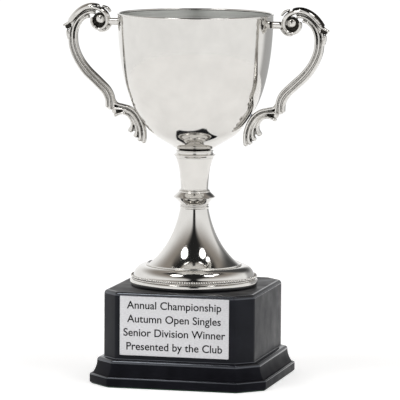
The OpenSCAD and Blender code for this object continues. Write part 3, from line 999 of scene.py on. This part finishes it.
# %% Give every remaining part of the design its material
FITTINGS = {
    ZINC: ("handle_screws", "handle_washers", "tie_rod", "bowl_washer", "bowl_nut", "base_washer",
           "base_nut", "base_screws"),
    BRASS: ("foot_spigot",),
    IRON: ("base_weight",),
    BOARD: ("bottom_cover",),
    FELT: ("felt_pad",),
    TAPE: ("plate_tape",),
}
for material, nodes in FITTINGS.items():
    for node in nodes:
        slots = bpy.data.objects[node].data.materials
        slots.clear()
        slots.append(material)
    print(material.name, "on", ", ".join(nodes))

# %% [markdown]
# ## The studio
#
# A mirror-bright cup shows the room more than itself. Product studios therefore stand it in a white tent
# on a white table that is lit from below. The table is a plain disc that glows a little. It lies a hair
# below the felt, so that the two don't share a plane.

# %% Floor
FLOOR_R = 1.0
FLOOR_GLOW = 0.60


def build_floor():
    bm = bmesh.new()
    bmesh.ops.create_circle(bm, cap_ends=True, segments=96, radius=FLOOR_R)
    bmesh.ops.translate(bm, vec=(0, 0, -0.02 * MM), verts=bm.verts)
    mesh = bpy.data.meshes.new("floor")
    bm.to_mesh(mesh)
    bm.free()
    floor = bpy.data.objects.new("floor", mesh)
    bpy.context.scene.collection.objects.link(floor)
    material, _, shader, _ = new_material("white_light_table", Roughness=0.9)
    shader.inputs["Base Color"].default_value = grey(0.78)
    shader.inputs["Emission Color"].default_value = grey(1.0)
    shader.inputs["Emission Strength"].default_value = FLOOR_GLOW
    shader.inputs["Specular IOR Level"].default_value = 0.1
    mesh.materials.append(material)
    print("floor:", FLOOR_R, "m in radius")


build_floor()

# %% [markdown]
# The tent is a world colour that depends only on direction: white all round, with a gap that the lens
# looks through, wider overhead, where lamps show as bright patches. Darker and brighter areas are laid
# over the white one by one, each through a mask with soft edges.
#
# A direction's x points to the lens's right, y away from it and z up.

# %% World
CAMERA_AZIMUTH = math.radians(13.83)
CAMERA_PITCH = math.radians(6.45)
TENT = 1.08
TENT_OVERHEAD = (0.33, 0.30, 0.27, 1.0)
GREY_WALL = 0.48
LENS_GAP = 0.02
DARK_CORNER = 0.08
LAMP = 8.0
# the direction of each lamp and its half angle in degrees
LAMPS = (((-0.40, -0.28, 0.87), 8), ((0.36, -0.30, 0.88), 7), ((0.44, -0.05, 0.90), 3))


def build_world():
    world = bpy.data.worlds.new("light_tent")
    bpy.context.scene.world = world
    world.use_nodes = True
    tree = world.node_tree
    way = add_node(tree, "ShaderNodeTexCoord").outputs["Generated"]
    # the lens looks along +Y of the turned direction, so its own gap in the tent is at -Y
    turned = add_node(tree, "ShaderNodeMapping", {"Vector": way})
    turned.inputs["Rotation"].default_value = (0, 0, -CAMERA_AZIMUTH)
    axes = add_node(tree, "ShaderNodeSeparateXYZ", {"Vector": turned.outputs["Vector"]})
    x, y, z = (axes.outputs[k] for k in "XYZ")

    def math_node(operation, *values):
        made = add_node(tree, "ShaderNodeMath", props={"operation": operation})
        for socket, value in zip(made.inputs, values):
            if isinstance(value, (int, float)):
                socket.default_value = value
            else:
                tree.links.new(value, socket)
        return made.outputs[0]

    def soft_step(value, start, end):
        made = add_node(tree, "ShaderNodeMapRange", {"Value": value}, {"interpolation_type": "SMOOTHSTEP"},
                        From_Min=start, From_Max=end)
        return made.outputs["Result"]

    def patch(centre, degrees, soft=3):
        """A round patch of sky about a direction, with a soft edge."""
        made = add_node(tree, "ShaderNodeVectorMath", {0: turned.outputs["Vector"]},
                        {"operation": "DOT_PRODUCT"})
        made.inputs[1].default_value = Vector(centre).normalized()
        return soft_step(made.outputs["Value"], math.cos(math.radians(degrees + soft)),
                         math.cos(math.radians(degrees - soft)))

    # the gap for the lens is narrow near the horizon and wider overhead, where it reaches past the cup
    half_width = math_node("MULTIPLY_ADD", soft_step(z, 0.45, 0.95), 0.44, 0.15)
    blur = math_node("MULTIPLY_ADD", soft_step(z, 0.3, 0.8), 0.20, 0.05)
    inside = math_node("SUBTRACT", half_width, math_node("ABSOLUTE", x))
    gap = soft_step(math_node("DIVIDE", inside, blur), -1.0, 1.0)
    gap = math_node("MULTIPLY", gap, soft_step(z, -0.02, 0.03))
    past = math_node("MULTIPLY_ADD", soft_step(z, 0.78, 0.96), -0.4, y)
    gap = math_node("MULTIPLY", gap, soft_step(past, 0.25, -0.05))
    # a grey wall behind and to the right shows only as a band along that edge of the cup
    wall = math_node("MULTIPLY", soft_step(x, 0.10, 0.26), soft_step(y, 0.46, 0.66))
    wall = math_node("MULTIPLY", wall, soft_step(z, 0.45, 0.30))
    layers = [(wall, GREY_WALL), (gap, LENS_GAP), (patch((0.34, 0.74, 0.58), 20, 10), DARK_CORNER)]
    layers += [(patch(lamp, size, 1.5), LAMP) for lamp, size in LAMPS]
    # the tent is thinner overhead, where less light comes through
    colour = add_node(tree, "ShaderNodeMix", {"Factor": soft_step(z, 0.30, 0.78)}, {"data_type": "RGBA"})
    colour.inputs["A"].default_value = grey(TENT)
    colour.inputs["B"].default_value = TENT_OVERHEAD
    colour = colour.outputs["Result"]
    for mask, level in layers:
        laid = add_node(tree, "ShaderNodeMix", {"Factor": mask, "A": colour}, {"data_type": "RGBA"})
        laid.inputs["B"].default_value = grey(level)
        colour = laid.outputs["Result"]
    tree.links.new(colour, tree.nodes["Background"].inputs["Color"])
    print("world:", world.name, "with", len(layers), "areas over white")


build_world()

# %% [markdown]
# ## The camera
#
# A long lens some three metres away, a little above the cup and a little to its right, as for a catalogue.

# %% Camera
CAMERA_DISTANCE = 3.187
CAMERA_ROLL = math.radians(0.38)
TARGET = Vector((0, 0, 0.1457))


def build_camera():
    data = bpy.data.cameras.new("camera")
    data.lens = 352.3
    data.sensor_width = 36
    data.shift_x = 0.01414
    data.clip_end = 50
    camera = bpy.data.objects.new("camera", data)
    bpy.context.scene.collection.objects.link(camera)
    away = Vector((math.sin(CAMERA_AZIMUTH) * math.cos(CAMERA_PITCH),
                   -math.cos(CAMERA_AZIMUTH) * math.cos(CAMERA_PITCH), math.sin(CAMERA_PITCH)))
    camera.location = TARGET + CAMERA_DISTANCE * away
    tilt = Matrix.Rotation(CAMERA_ROLL, 4, "Z")
    camera.rotation_euler = (away.to_track_quat("Z", "Y").to_matrix().to_4x4() @ tilt).to_euler()
    bpy.context.scene.camera = camera
    print("camera at", [round(v, 3) for v in camera.location])


build_camera()
bpy.context.scene.view_settings.view_transform = "Standard"

# %% [markdown]
# ## Finish
#
# The looks must keep to the box of the design. The last step brings the scene up to date.

# %% Finish
bpy.context.view_layer.update()
